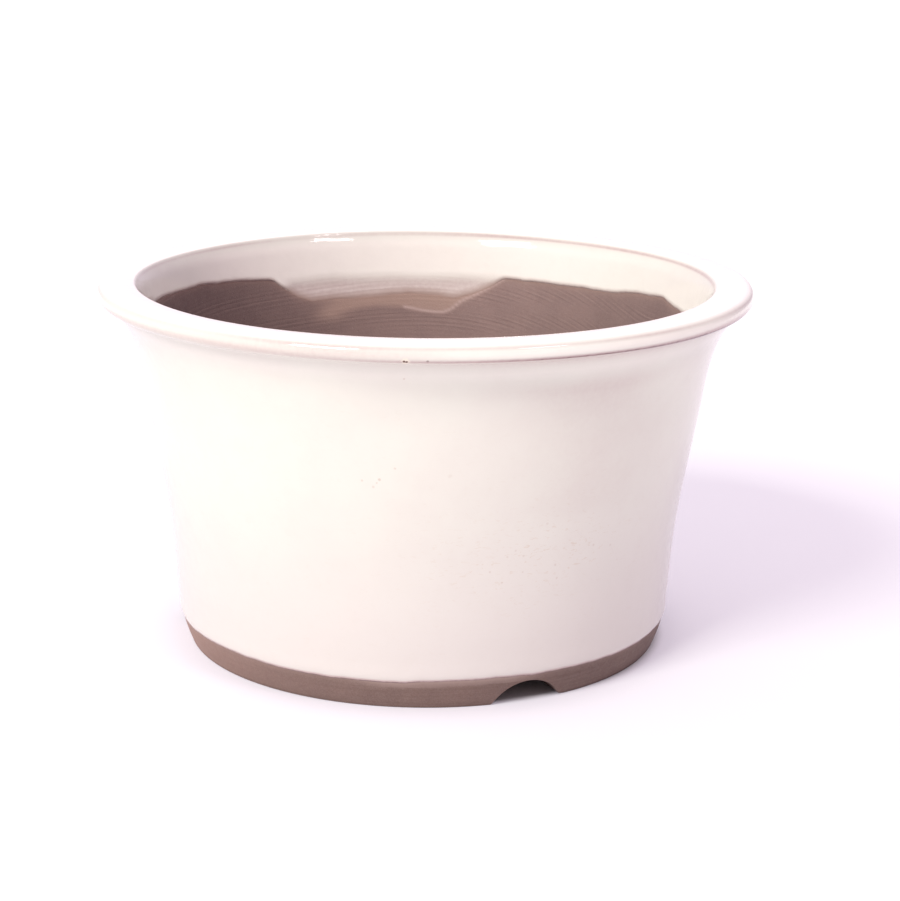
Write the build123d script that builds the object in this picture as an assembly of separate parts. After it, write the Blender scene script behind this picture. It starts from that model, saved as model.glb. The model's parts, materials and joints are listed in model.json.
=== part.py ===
from build123d import *
import math
import os

# Round glazed stoneware bonsai pot. +Z is up, the origin is the centre of the foot on the table,
# the front of the pot faces -Y. All sizes are in millimetres.

# ---- driving dimensions: foot ----------------------------------------------------------------
FOOT_R = 57.0            # outer radius where the foot meets the table
FOOT_H = 7.0             # height of the foot ring and of its bare clay band
FOOT_MID_R = 58.5        # outer radius half way up the band, which bellies out slightly
FOOT_TOP_R = 59.3        # outer radius where the glaze begins
FOOT_INNER_R = 48.5      # inner radius of the ring at the table
FOOT_INNER_TOP_R = 47.5  # inner radius of the ring under the floor
FOOT_EDGE = 0.8          # rounding of the ring's two bottom edges

NOTCH_COUNT = 3          # drainage notches in the foot ring
NOTCH_FRONT_DEG = 24.0   # first notch, turned from the front (-Y) towards +X
NOTCH_CUTTER_R = 8.75    # each notch is cut by a round bar lying on a radius of the pot
NOTCH_H = 5.7            # height of the notch's crown above the table

# ---- driving dimensions: floor ---------------------------------------------------------------
FLOOR_T = 6.0            # floor thickness
FLOOR_R = 46.0           # radius of the slab inside the thrown wall
COVE_R = 6.0             # radius between floor and inner wall
DRAIN_R = 11.0           # central drain hole
DRAIN_EDGE = 0.75        # rounding of the drain hole's two rims
WIRE_HOLES = 4           # tie-down wire holes
WIRE_HOLE_R = 2.25
WIRE_CIRCLE_R = 32.0     # radius of the circle that the wire holes are on
WIRE_FIRST_DEG = 45.0

# ---- driving dimensions: wall, lip and glaze -------------------------------------------------
OUTER_WALL = [               # (radius, height) up the outside, glaze included
    (60.1, 15.0),            # the wall stands nearly upright on the foot
    (61.0, 26.5),
    (64.3, 48.0),            # straight taper
    (66.4, 60.0),
    (67.9, 68.5),
    (69.7, 74.5),            # flare below the lip
    (71.8, 78.7),
    (73.9, 81.6),
]
INNER_WALL = [               # (radius, height) down the inside from the mouth
    (67.2, 84.6),            # flares towards the mouth
    (66.3, 82.0),
    (65.2, 78.0),
    (63.1, 68.4),
    (59.4, 48.0),            # straight taper
    (54.9, 22.0),
]

LIP_NOSE_R = 2.2             # radius of the lip's rounded outer edge
LIP_NOSE = (75.4, 85.05)     # centre of that rounding
LIP_UNDER_DEG = -105.0       # direction from that centre to where the flare meets the lip
LIP_CROWN = (72.6, 87.3)     # highest point of the domed lip
MOUTH_R = 68.2               # radius of the inner edge of the lip
MOUTH_Z = 87.0               # height of that edge
MOUTH_EDGE = 1.0             # rounding of that edge
LIP_SPLIT_Z = 79.0           # the rolled lip is luted on top of the thrown wall here

GLAZE_T = 0.5                # glaze thickness
GLAZE_INNER_Z = 75.5         # mean height of the glaze's lower edge inside the mouth
GLAZE_CORE_LOW_R = 56.5      # a line through the middle of the wall parts its two faces:
GLAZE_CORE_HIGH_R = 66.4     # its radius at the foot and at the inner glaze edge

BEYOND = 100.0               # reach of the cutting boxes, past everything


def on_circle(centre, radius, degrees):
    """Point at an angle on a circle of the section."""
    turn = math.radians(degrees)
    return (centre[0] + radius * math.cos(turn), centre[1] + radius * math.sin(turn))


def inset(run, depth):
    """Points of a run, each moved by a depth to the left of the way the run goes."""
    moved = []
    for index, (x, y) in enumerate(run):
        before = run[max(index - 1, 0)]
        after = run[min(index + 1, len(run) - 1)]
        along = (Vector(*after) - Vector(*before)).normalized()
        moved.append((x - depth * along.Y, y + depth * along.X))
    return moved


def pot_section(skin):
    """Half section of the pot (x is the radius, y the height) with a skin taken off its glazed faces."""
    floor_z = FOOT_H + FLOOR_T
    foot_edge = (FOOT_R, FOOT_EDGE)
    nose_r = LIP_NOSE_R - skin
    under_lip = on_circle(LIP_NOSE, nose_r, LIP_UNDER_DEG)
    nose_tip = on_circle(LIP_NOSE, nose_r, 0)
    nose_top = on_circle(LIP_NOSE, nose_r, 90)
    crown = (LIP_CROWN[0], LIP_CROWN[1] - skin)
    edge_middle = (MOUTH_R + MOUTH_EDGE, MOUTH_Z - MOUTH_EDGE)
    mouth_top = on_circle(edge_middle, MOUTH_EDGE - skin / 2, 105)
    mouth_corner = on_circle(edge_middle, MOUTH_EDGE - skin / 2, 128)
    mouth_side = on_circle(edge_middle, MOUTH_EDGE - skin / 2, 152)
    cove_side = (FLOOR_R + 2 + COVE_R, floor_z + COVE_R)
    cove_low = (FLOOR_R + 2, floor_z)

    wall_foot = (FOOT_TOP_R - skin, FOOT_H)
    outer = inset(OUTER_WALL, skin)
    inner = inset(INNER_WALL, skin)

    outline = [
        Polyline((0, floor_z), (0, FOOT_H), (FOOT_INNER_TOP_R, FOOT_H)),
        Polyline((FOOT_INNER_TOP_R, FOOT_H), (FOOT_INNER_R, FOOT_EDGE), (FOOT_INNER_R + FOOT_EDGE, 0)),
        Line((FOOT_INNER_R + FOOT_EDGE, 0), (FOOT_R - FOOT_EDGE, 0)),
        TangentArc((FOOT_R - FOOT_EDGE, 0), foot_edge, tangent=(1, 0)),
        ThreePointArc(foot_edge, (FOOT_MID_R - skin / 2, FOOT_H / 2), wall_foot),
        Spline(wall_foot, *outer, under_lip),
        ThreePointArc(under_lip, nose_tip, nose_top),
        Spline(nose_top, crown, mouth_top),
        ThreePointArc(mouth_top, mouth_corner, mouth_side),
        Spline(mouth_side, *inner, cove_side),
        TangentArc(cove_low, cove_side, tangent=(1, 0)),
        Line(cove_low, (0, floor_z)),
    ]
    return make_face(outline)


def glazed_zone():
    """Area of the section that the glaze covers: outside, over the lip, and down to its inner edge."""
    return make_face(
        Polyline(
            (GLAZE_CORE_LOW_R, FOOT_H),
            (BEYOND, FOOT_H),
            (BEYOND, BEYOND),
            (0, BEYOND),
            (0, GLAZE_INNER_Z),
            (GLAZE_CORE_HIGH_R, GLAZE_INNER_Z),
            (GLAZE_CORE_LOW_R, FOOT_H),
        )
    )


def band(low_r, high_r, low_z, high_z):
    """Rectangle of the section between two radii and two heights."""
    return Pos(low_r, low_z) * Rectangle(high_r - low_r, high_z - low_z, align=(Align.MIN, Align.MIN))


def turned(section):
    """Solid of revolution of a half section about the pot's axis."""
    return revolve(Plane.XZ * section, axis=Axis.Z)


def notches():
    """Round bars that cut the drainage notches through the foot ring."""
    bar = Cylinder(NOTCH_CUTTER_R, BEYOND, align=(Align.CENTER, Align.CENTER, Align.MIN))
    step = 360 / NOTCH_COUNT
    return [
        Rot(0, 0, NOTCH_FRONT_DEG + step * index) * Pos(0, 0, NOTCH_H - NOTCH_CUTTER_R) * Rot(90, 0, 0) * bar
        for index in range(NOTCH_COUNT)
    ]


def drain_hole():
    """Solid of the drain hole, with its two rims rounded."""
    half = GLAZE_T + FLOOR_T / 2
    rim = DRAIN_EDGE
    low, high = FOOT_H, FOOT_H + FLOOR_T
    middle = (low + high) / 2
    outline = [
        Polyline((0, middle + half), (0, middle - half), (DRAIN_R + rim, middle - half), (DRAIN_R + rim, low)),
        TangentArc((DRAIN_R, low + rim), (DRAIN_R + rim, low), tangent=(0, -1)),
        Line((DRAIN_R, low + rim), (DRAIN_R, high - rim)),
        TangentArc((DRAIN_R, high - rim), (DRAIN_R + rim, high), tangent=(0, 1)),
        Polyline((DRAIN_R + rim, high), (DRAIN_R + rim, middle + half), (0, middle + half)),
    ]
    return turned(make_face(outline))


def wire_holes():
    """Plain holes for the wires that tie the tree down."""
    drill = Cylinder(WIRE_HOLE_R, FLOOR_T * 3)
    return [
        Pos(0, 0, FOOT_H + FLOOR_T / 2) * place * drill
        for place in PolarLocations(WIRE_CIRCLE_R, WIRE_HOLES, start_angle=WIRE_FIRST_DEG)
    ]


whole = pot_section(0)
glaze = (whole - pot_section(GLAZE_T)) & glazed_zone()
clay = whole - glaze

pieces = {
    "foot_ring": turned(clay & band(FLOOR_R, BEYOND, 0, FOOT_H)) - notches(),
    "floor_slab": turned(clay & band(0, FLOOR_R, FOOT_H, BEYOND)) - [drain_hole(), *wire_holes()],
    "pot_wall": turned(clay & band(FLOOR_R, BEYOND, FOOT_H, LIP_SPLIT_Z)),
    "rolled_lip": turned(clay & band(FLOOR_R, BEYOND, LIP_SPLIT_Z, BEYOND)),
    "glaze_coat": turned(glaze),
}

os.makedirs("parts", exist_ok=True)
for name, solid in pieces.items():
    solid.label = name
    export_step(solid, f"parts/{name}.step")
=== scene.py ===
import json
import math

import bpy
import numpy as np
from mathutils import Matrix, Vector, geometry


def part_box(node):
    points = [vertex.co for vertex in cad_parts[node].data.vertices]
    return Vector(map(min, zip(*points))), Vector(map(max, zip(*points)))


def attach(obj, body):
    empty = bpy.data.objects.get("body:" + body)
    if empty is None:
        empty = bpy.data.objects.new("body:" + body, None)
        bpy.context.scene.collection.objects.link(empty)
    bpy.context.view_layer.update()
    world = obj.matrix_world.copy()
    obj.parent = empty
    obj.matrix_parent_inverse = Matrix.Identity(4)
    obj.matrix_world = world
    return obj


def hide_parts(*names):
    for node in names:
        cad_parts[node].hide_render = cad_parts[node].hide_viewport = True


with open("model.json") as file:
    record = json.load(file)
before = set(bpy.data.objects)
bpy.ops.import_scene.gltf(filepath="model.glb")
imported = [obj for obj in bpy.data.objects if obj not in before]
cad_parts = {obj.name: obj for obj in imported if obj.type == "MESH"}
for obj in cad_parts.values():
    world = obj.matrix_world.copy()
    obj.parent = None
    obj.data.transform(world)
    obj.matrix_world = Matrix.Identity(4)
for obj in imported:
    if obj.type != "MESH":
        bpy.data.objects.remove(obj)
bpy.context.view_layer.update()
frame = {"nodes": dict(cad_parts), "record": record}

# Looks of a round stoneware bonsai pot: cream glaze over brown clay. Lengths in this script are
# millimetres, turned into metres when a mesh is made. The pot's axis is Z, its front faces -Y, and
# angles around it are degrees from the front, positive towards +X.

MM = 0.001
scene = bpy.context.scene


def box_mm(node):
    """Lowest and highest corner of a CAD node, in millimetres."""
    low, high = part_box(node)
    return np.array(low) / MM, np.array(high) / MM


# ---- sizes taken from the frame ----
_, foot_high = box_mm("foot_ring")
slab_low, slab_high = box_mm("floor_slab")
_, glaze_high = box_mm("glaze_coat")
drain = next(mount for mount in frame["record"]["mounts"] if mount["name"] == "drain_hole")

FOOT_H = foot_high[2]  # height of the foot ring
FOOT_TOP_R = foot_high[0]  # its widest radius, where the glaze begins
FLOOR_R = slab_high[0]
FLOOR_UNDER = slab_low[2]
FLOOR_TOP = slab_high[2]
LIP_R = glaze_high[0]  # at the lip's nose
POT_H = glaze_high[2]  # highest point of the lip
DRAIN_R = drain["dims"]["r_mm"]

# ---- profile of the pot, matching the CAD solids ----
FOOT_R = FOOT_TOP_R - 2.3  # radius on the table
FOOT_INNER_R = 48.5  # recess under the floor, at the table
FOOT_INNER_TOP_R = 47.5  # and at the floor
NOTCH_FIRST, NOTCH_STEP = 24.0, 120.0  # degrees
NOTCH_COUNT = 3
NOTCH_CUTTER_R, NOTCH_H = 8.75, 5.7
OUTER_WALL = [  # (radius, height), upwards
    (FOOT_TOP_R, FOOT_H), (60.1, 15.0), (61.0, 26.5), (64.3, 48.0), (66.4, 60.0), (67.9, 68.5),
    (69.7, 74.5), (71.8, 78.7), (73.9, 81.6),
]
INNER_WALL = [  # (radius, height), downwards
    (67.2, 84.6), (66.3, 82.0), (65.2, 78.0), (63.1, 68.4), (59.4, 48.0), (54.9, 22.0), (54.0, 19.0),
]
COVE_R = 6.0
NOSE_R = 2.2
NOSE_MID = (LIP_R - NOSE_R, POT_H - 2.26)
NOSE_FROM, NOSE_TOP = -105.0, 90.0  # the nose runs between these directions, up from the flare
CROWN = (72.6, POT_H - 0.02)
MOUTH_R, MOUTH_Z, MOUTH_EDGE = 68.2, 87.0, 1.0
MOUTH_FROM, MOUTH_TO = 105.0, 152.0  # the arc of the mouth's edge
GLAZE_T = 0.5
WIRE_HOLE_R, WIRE_CIRCLE_R, WIRE_FIRST = 2.25, 32.0, 45.0

# ---- sizes that only the looks have ----
COLUMNS = 432  # vertices around the glaze and the wall
POOL_DROP = 1.0  # glaze pooled under the nose starts this far below the corner
POOL_TO = -82.0  # and ends in this direction on the nose
POOL_ROWS = 8
WALL_TOP = 81.0  # the wall's clay ends here, hidden inside the lip
WASH_R = 62.0  # radius of the inner wall where the wash dried
CREST_Z = 86.3  # height of the line where the glaze turns over the mouth's edge
FOOT_EDGE = 0.4  # rounding of the foot's bottom edges
FOOT_TUCK = 1.9  # the foot's clay runs this far up behind the roll of glaze
RIM_EASE = 0.75  # rounding of the floor's holes


# ---- small maths ----
def smoothstep(low, high, value):
    """0 below low, 1 above high, smooth between."""
    t = np.clip((np.asarray(value, float) - low) / (high - low), 0, 1)
    return t * t * (3 - 2 * t)


def bell(value, middle, width):
    """1 at the middle, falling smoothly to 0 on both sides."""
    return np.exp(-((value - middle) / width) ** 2)


def spline(points, count):
    """Natural cubic through 2-D points, sampled evenly in its chord length."""
    p = np.array(points, float)
    t = np.concatenate([[0], np.cumsum(np.linalg.norm(np.diff(p, axis=0), axis=1))])
    n = len(p)
    h = np.diff(t)
    a = np.eye(n)
    b = np.zeros((n, p.shape[1]))
    for i in range(1, n - 1):
        a[i, i - 1: i + 2] = h[i - 1], 2 * (h[i - 1] + h[i]), h[i]
        b[i] = 6 * ((p[i + 1] - p[i]) / h[i] - (p[i] - p[i - 1]) / h[i - 1])
    m = np.linalg.solve(a, b)
    s = np.linspace(0, t[-1], count)
    k = np.clip(np.searchsorted(t, s, side="right") - 1, 0, n - 2)
    d, e = (s - t[k])[:, None], (t[k + 1] - s)[:, None]
    g = h[k][:, None]
    return (m[k] * e**3 + m[k + 1] * d**3) / (6 * g) + (p[k] / g - m[k] * g / 6) * e + (
        p[k + 1] / g - m[k + 1] * g / 6) * d


def arc(middle, radius, start, end, count):
    """Points of a circular arc, degrees."""
    a = np.radians(np.linspace(start, end, count))
    return np.stack([middle[0] + radius * np.cos(a), middle[1] + radius * np.sin(a)], 1)


def turn(degrees):
    """Angle from -180 up to 180."""
    return (np.asarray(degrees, float) + 180) % 360 - 180


def around(table, degrees, soften=1.0):
    """Value at angles, from (degrees, value) points around the pot, with softened corners."""
    step, reach = 0.25, 24
    angles = np.arange(-180, 180, step)
    points = sorted(table)
    values = np.interp(angles, [p[0] for p in points], [p[1] for p in points], period=360)
    kernel = np.exp(-0.5 * (np.arange(-reach, reach + 1) * step / soften) ** 2)
    kernel /= kernel.sum()
    values = np.convolve(np.tile(values, 3), kernel, "same")[len(values): 2 * len(values)]
    return np.interp(turn(degrees), angles, values, period=360)


def ripple(degrees, seed, waves):
    """Smooth wobble around the pot, mostly within -1 to 1, made of a few whole waves."""
    random = np.random.default_rng(seed)
    total = np.zeros(np.shape(degrees))
    for wave in waves:
        total = total + np.sin(np.radians(np.asarray(degrees) * wave) + random.uniform(0, math.tau))
    return total / math.sqrt(len(waves))


def near_line(degrees, height, points):
    """Distance in millimetres, on the inner wall, from a line of (degrees, height) points."""
    x = np.radians(np.asarray(degrees, float)) * WASH_R
    best = np.full(np.broadcast(x, height).shape, np.inf)
    for (a0, z0), (a1, z1) in zip(points, points[1:]):
        ax, bx = math.radians(a0) * WASH_R, math.radians(a1) * WASH_R
        length2 = (bx - ax) ** 2 + (z1 - z0) ** 2
        t = np.clip(((x - ax) * (bx - ax) + (height - z0) * (z1 - z0)) / length2, 0, 1)
        best = np.minimum(best, np.hypot(x - ax - t * (bx - ax), height - z0 - t * (z1 - z0)))
    return best


# ---- shape of the glaze ----
# Lower edge of the glaze inside the mouth: (degrees from the front, height). It runs in long facets,
# as a poured glaze does, and hangs lower in a broad thin tongue at the back.
INNER_EDGE = [
    (-100, 78.8), (-116, 78.4), (-119, 78.5), (-131, 77.5), (-142.4, 76.3), (-144.3, 74.4),
    (-148.3, 71.4), (-152, 70.0), (-160, 69.9), (-168, 70.2), (-176, 70.9), (178, 70.4), (173, 69.8),
    (169, 70.9), (166, 72.2), (163.4, 73.8), (161.3, 75.6), (148, 75.1), (132, 75.4), (124, 76.5),
    (114, 77.2), (110, 76.2), (103, 75.6), (80, 75.2), (58, 77.4), (40, 77.0), (22, 74.8), (-4, 75.6),
    (-22, 78.2), (-45, 78.0), (-62, 76.0), (-80, 77.6),
]
TONGUE_FROM, TONGUE_TO = -144.0, -198.5  # the thin tongue lies between these, past the back
TONGUE_TOP = 75.4  # the glaze thins out below this height
# Fine pale rim of the wash that dried under the tongue: (degrees as in past_back, height).
WASH_RIM = [
    (-174.8, 67.5), (-179.0, 66.6), (-182.0, 66.2), (-184.3, 66.2), (-186.1, 66.9), (-188.6, 69.2),
    (-192.4, 71.2), (-195.7, 73.4), (-198.3, 75.2),
]
# The wash lies above this line, which goes on from its rim. A height of 90 means no wash there.
WASH_TOP = WASH_RIM + [(-150, 69.5), (-160, 67.0), (-168, 68.0), (-120, 90), (140, 90), (0, 90)]

# Larger specks in the glaze, by tone: (degrees, height, radius, strength). The pale one is the ring of
# a burst pinhole under the nose.
OCHRE, PALE, BROWN = (160, 112, 74), (236, 226, 208), (92, 58, 48)
SPECKS = [
    (OCHRE, [
        (-8.4, 55.1, 0.45, 0.28), (-8.9, 54.3, 0.32, 0.2), (-9.6, 53.3, 0.4, 0.17),
        (-11.7, 54.7, 0.36, 0.21), (-5.4, 57.8, 0.4, 0.2), (4.8, 56.2, 0.65, 0.09),
        (-3.5, 78.8, 0.36, 0.21), (17.1, 36.3, 0.36, 0.17), (18.8, 37.6, 0.36, 0.14),
        (20.6, 36.2, 0.4, 0.14), (13.6, 33.0, 0.36, 0.17), (16.3, 30.2, 0.32, 0.19),
        (20.7, 32.3, 0.32, 0.14), (28.1, 33.0, 0.4, 0.17), (28.8, 29.7, 0.4, 0.17),
        (37.4, 36.1, 0.48, 0.14), (42.4, 35.0, 0.4, 0.14), (25.2, 43.3, 0.4, 0.13),
    ]),
    (PALE, [(-3.0, 83.6, 1.2, 0.9)]),
    (BROWN, [(-3.2, 83.65, 0.45, 1.0), (-2.8, 83.6, 0.40, 1.0), (0.4, 83.8, 0.42, 0.5)]),
]

# ---- tones around the pot ----
# Each table holds (degrees from the front, strength). They follow the tones seen in the photo. Some
# are thinner glaze; several are painted light, shade or reflection, as the note on each says.

# Painted highlight along the middle of the nose.
NOSE_HIGHLIGHT = [(-180, 0.1), (-30, 0.0), (0, 0.15), (20, 0.5), (50, 0.65), (80, 0.5), (115, 0.1)]
# Painted shadow of the lip in the curve under it.
LIP_SHADOW = [(-90, 0.2), (-30, 0.1), (-5, 0.4), (15, 1.0), (45, 1.0), (80, 0.6), (150, 0.5)]
# A tall patch of painted shade on the right of the front, a shade darker.
SHADE_PATCH = [(-180, 0.0), (10, 0.0), (18, 0.06), (25, 0.125), (34, 0.135), (42, 0.1), (52, 0.0)]
# The faint line on the nose's shoulder, a painted reflection edge.
SHOULDER_REFLECTION = [
    (-170, 0.2), (-90, 0.15), (-45, 0.18), (-15, 0.18), (10, 0.26), (40, 0.3), (80, 0.3), (130, 0.2),
]
# The line where the glaze runs thin over the mouth's edge.
CREST_LINE = [
    (-160, 0.3), (-135, 0.22), (-110, 0.1), (-85, 0.06), (0, 0.2), (80, 0.34), (130, 0.42), (160, 0.36),
]
# The brown line on the underside of the lip's nose: partly thin glaze, partly painted shade.
UNDER_NOSE_THIN_AND_SHADE = [
    (-170, 0.3), (-120, 0.3), (-75, 0.22), (-40, 0.2), (-15, 0.22), (5, 0.5), (16, 0.75), (30, 0.88),
    (45, 0.85), (70, 0.85), (110, 0.6), (150, 0.6),
]
# The same line where it spreads on to the flare of the wall: partly thin glaze, partly painted shade.
FLARE_THIN_AND_SHADE = [
    (-170, 0.3), (-120, 0.1), (-75, 0.0), (-40, 0.05), (-15, 0.15), (5, 0.32), (16, 0.42), (30, 0.5),
    (45, 0.42), (70, 0.38), (110, 0.3), (150, 0.4),
]
# Painted shade over the whole nose, strongest left of the front.
NOSE_SHADE = [
    (-180, 0.0), (-75, 0.08), (-50, 0.1), (-32, 0.16), (-16, 0.29), (-4, 0.22), (10, 0.0), (170, 0.0),
]
# Painted light on the glaze inside the mouth: brightest at the back, dim on the left.
MOUTH_LIGHT = [
    (-150, 1.0), (-136, 1.0), (-126, 0.85), (-116, 0.3), (-100, 0.2), (-90, 0.1), (0, 0.4), (90, 0.45),
    (125, 0.5), (152, 0.9),
]
# Painted sheen on the bare foot, strongest on its left, from none (0) to full (1).
FOOT_SHEEN = [
    (-110, 0.2), (-80, 1.0), (-66, 0.75), (-54, 0.5), (-42, 0.3), (-28, 0.12), (-10, 0.05), (10, 0.1),
    (30, 0.0), (100, 0.0), (150, 0.4), (-160, 0.1),
]
# Painted light on the bare clay inside, from shaded (0) on the left to lit (1) at the back.
CLAY_LIGHT = [
    (-180, 0.85), (164, 1.0), (146, 0.72), (119, 0.4), (90, 0.35), (0, 0.4), (-90, 0.1), (-117, 0.0),
    (-137, 0.25), (-153, 0.55),
]

# ---- throwing ridges inside ----
RIDGE_PITCH = 1.1
RIDGE_DEPTH = 0.028
# The ridges climb to a crown at the back: (degrees, height).
RIDGE_CLIMB = [
    (180, 0.0), (170, -0.3), (160, -1.8), (150, -4.6), (140, -8.0), (130, -12.0), (120, -15.0),
    (60, -16.0), (0, -11.0), (-90, -4.0), (-120, -2.6), (-135, -2.0), (-150, -1.0), (-165, -0.2),
]


def past_back(degrees):
    """Angle counted on through the back: -144 stays, 161.5 becomes -198.5."""
    d = turn(degrees)
    return np.where(d > 0, d - 360, d)


def glaze_edge_inside(degrees):
    """Height of the glaze's lower edge inside the mouth."""
    d = np.asarray(degrees, float)
    fine = 0.05 * ripple(d, 3, (41, 59, 83, 97))
    broad = 0.08 * ripple(d, 4, (13, 19, 29))
    return around(INNER_EDGE, d, 0.6) + fine + broad


def glaze_edge_foot(degrees):
    """Height of the glaze's lower edge at the foot, lifted a little left of the front notch."""
    d = turn(degrees)
    lifted = smoothstep(-6, 3, d) * (1 - smoothstep(15, 26, d))
    broad = 0.16 * ripple(d, 5, (2, 5, 9))
    fine = 0.05 * ripple(d, 6, (31, 47, 64))
    return FOOT_H - 0.38 + 0.5 * lifted + broad + fine


def tongue(degrees, height):
    """1 where the glaze inside the mouth is only a thin tongue."""
    d = past_back(degrees)
    right = smoothstep(TONGUE_TO - 2.5, TONGUE_TO + 1.0, d)
    left = 1 - smoothstep(TONGUE_FROM - 3.5, TONGUE_FROM, d)
    top = TONGUE_TOP + 0.15 * ripple(degrees, 8, (7, 11, 23))
    return right * left * (1 - smoothstep(top - 2.2, top + 1.6, height))


def ridges(degrees, height):
    """Throwing ridges on the inner wall, mostly within -1 to 1."""
    d = np.asarray(degrees, float)
    sway = 0.4 * ripple(d, 11, (3, 5, 8)) - around(RIDGE_CLIMB, d, 3.0)
    phase = math.tau * (height + sway) / RIDGE_PITCH
    uneven = 0.65 + 0.35 * np.sin(height * 0.9 + 0.8 * ripple(d, 12, (4, 7)))
    return uneven * (np.sin(phase) + 0.45 * np.sin(1.618 * phase + 2.0 * ripple(d, 13, (6, 10)) + 1.0))


def settled(points):
    """Points after the firing: the round is out of true by about 0.1 mm, more so at the lip."""
    x, y, z = points[..., 0], points[..., 1], points[..., 2]
    degrees = np.degrees(np.arctan2(x, -y))
    lift = np.clip(z / POT_H, 0, 1) ** 2
    swell = 1 + 0.0011 * lift * ripple(degrees, 21, (2, 3)) + 0.0003 * lift * ripple(degrees, 22, (5, 7))
    sag = 0.12 * lift * ripple(degrees, 23, (2, 3, 4))
    return np.stack([x * swell, y * swell, z + sag * lift], -1)


# ---- meshes ----
def polar(radius, height, degrees):
    """Points (rows, columns, 3) from radii and heights of the same shape and the columns' angles."""
    a = np.radians(degrees)
    shape = np.broadcast(radius, height, a).shape
    r = np.broadcast_to(radius, shape)
    z = np.broadcast_to(height, shape)
    return np.stack([r * np.sin(a), -r * np.cos(a), z], -1)


def new_object(name, data):
    """Object in the scene, made from mesh, light or camera data."""
    made = bpy.data.objects.new(name, data)
    scene.collection.objects.link(made)
    return made


def mesh_piece(name, vertices, faces, material, sharp=50):
    """Object from vertices in millimetres and faces, smooth apart from corners over an angle."""
    mesh = bpy.data.meshes.new(name)
    mesh.from_pydata((np.asarray(vertices, float) * MM).tolist(), [], faces)
    mesh.validate()
    mesh.polygons.foreach_set("use_smooth", np.ones(len(mesh.polygons), bool))
    mesh.set_sharp_from_angle(angle=math.radians(sharp))
    mesh.materials.append(material)
    return new_object(name, mesh)


def ring_faces(rows, columns):
    """Quads of a grid that closes around the pot and around its own section."""
    row = np.arange(rows)[:, None]
    column = np.arange(columns)
    after_row, after_column = (row + 1) % rows, (column + 1) % columns
    quads = np.stack([row * columns + column, row * columns + after_column,
                      after_row * columns + after_column, after_row * columns + column], -1)
    return quads.reshape(-1, 4).tolist()


def ring_piece(name, points, material, paint, sharp=50):
    """Closed ring from (rows, columns, 3) points whose rows run once around its section."""
    shape = points.shape[:2]
    piece = mesh_piece(name, settled(points).reshape(-1, 3), ring_faces(*shape), material, sharp)
    for key, values in paint.items():
        layer = piece.data.attributes.new(key, "FLOAT", "POINT")
        values = np.ascontiguousarray(np.broadcast_to(values, shape), np.float32)
        layer.data.foreach_set("value", values.ravel())
    return piece


# ---- node materials ----
class Nodes:
    """Short calls that add and link shader nodes of a material or of the world."""

    def __init__(self, owner):
        owner.use_nodes = True
        self.tree = owner.node_tree
        self.tree.nodes.clear()

    def add(self, kind, **settings):
        node = self.tree.nodes.new(kind)
        for key, value in settings.items():
            setattr(node, key, value)
        return node

    def link(self, source, target):
        self.tree.links.new(source, target)

    def feed(self, socket, value):
        """Sets a socket from a number, a colour or another node's output."""
        if hasattr(value, "links"):
            self.link(value, socket)
        else:
            socket.default_value = value

    def stretched(self, scale):
        """The object's coordinates, scaled along each axis."""
        node = self.add("ShaderNodeMapping")
        self.link(self.place, node.inputs["Vector"])
        node.inputs["Scale"].default_value = scale
        return node.outputs[0]

    def noise(self, per_mm, detail=2.0, rough=0.5, where=None, warp=0.0):
        """Noise from 0 to 1 with about so many blobs to a millimetre."""
        node = self.add("ShaderNodeTexNoise")
        self.link(where or self.place, node.inputs["Vector"])
        node.inputs["Scale"].default_value = per_mm / MM
        node.inputs["Detail"].default_value = detail
        node.inputs["Roughness"].default_value = rough
        node.inputs["Distortion"].default_value = warp
        return node.outputs["Fac"]

    def cells(self, per_mm):
        """Distance to the nearest of scattered points, and that point's own random colour."""
        node = self.add("ShaderNodeTexVoronoi")
        self.link(self.place, node.inputs["Vector"])
        node.inputs["Scale"].default_value = per_mm / MM
        return node.outputs["Distance"], node.outputs["Color"]

    def attribute(self, name):
        return self.add("ShaderNodeAttribute", attribute_name=name).outputs["Fac"]

    def between(self, value, low, high, to_low=0.0, to_high=1.0):
        """value from low..high mapped to to_low..to_high, smoothly and clamped."""
        node = self.add("ShaderNodeMapRange", interpolation_type="SMOOTHSTEP")
        self.feed(node.inputs["Value"], value)
        numbers = {"From Min": low, "From Max": high, "To Min": to_low, "To Max": to_high}
        for key, number in numbers.items():
            node.inputs[key].default_value = number
        return node.outputs["Result"]

    def maths(self, operation, a, b):
        node = self.add("ShaderNodeMath", operation=operation)
        self.feed(node.inputs[0], a)
        self.feed(node.inputs[1], b)
        return node.outputs[0]

    def blend(self, amount, a, b):
        """Colour a turned into colour b by an amount."""
        node = self.add("ShaderNodeMix", data_type="RGBA")
        self.feed(node.inputs[0], amount)
        self.feed(node.inputs[6], a)
        self.feed(node.inputs[7], b)
        return node.outputs[2]

    def height(self):
        """Height above the table, in millimetres."""
        node = self.add("ShaderNodeSeparateXYZ")
        self.link(self.place, node.inputs[0])
        return self.maths("DIVIDE", node.outputs[2], MM)

    def bump(self, height, mm, under=None):
        """Normal from a height of 0 to 1 that stands for so many millimetres."""
        node = self.add("ShaderNodeBump")
        self.link(height, node.inputs["Height"])
        node.inputs["Distance"].default_value = mm * MM
        if under is not None:
            self.link(under, node.inputs["Normal"])
        return node.outputs[0]


class Surface(Nodes):
    """Nodes of one new material."""

    def __init__(self, name):
        self.material = bpy.data.materials.new(name)
        super().__init__(self.material)
        self.shader = self.add("ShaderNodeBsdfPrincipled")
        self.link(self.shader.outputs[0], self.add("ShaderNodeOutputMaterial").inputs[0])
        self.place = self.add("ShaderNodeTexCoord").outputs["Object"]


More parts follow.
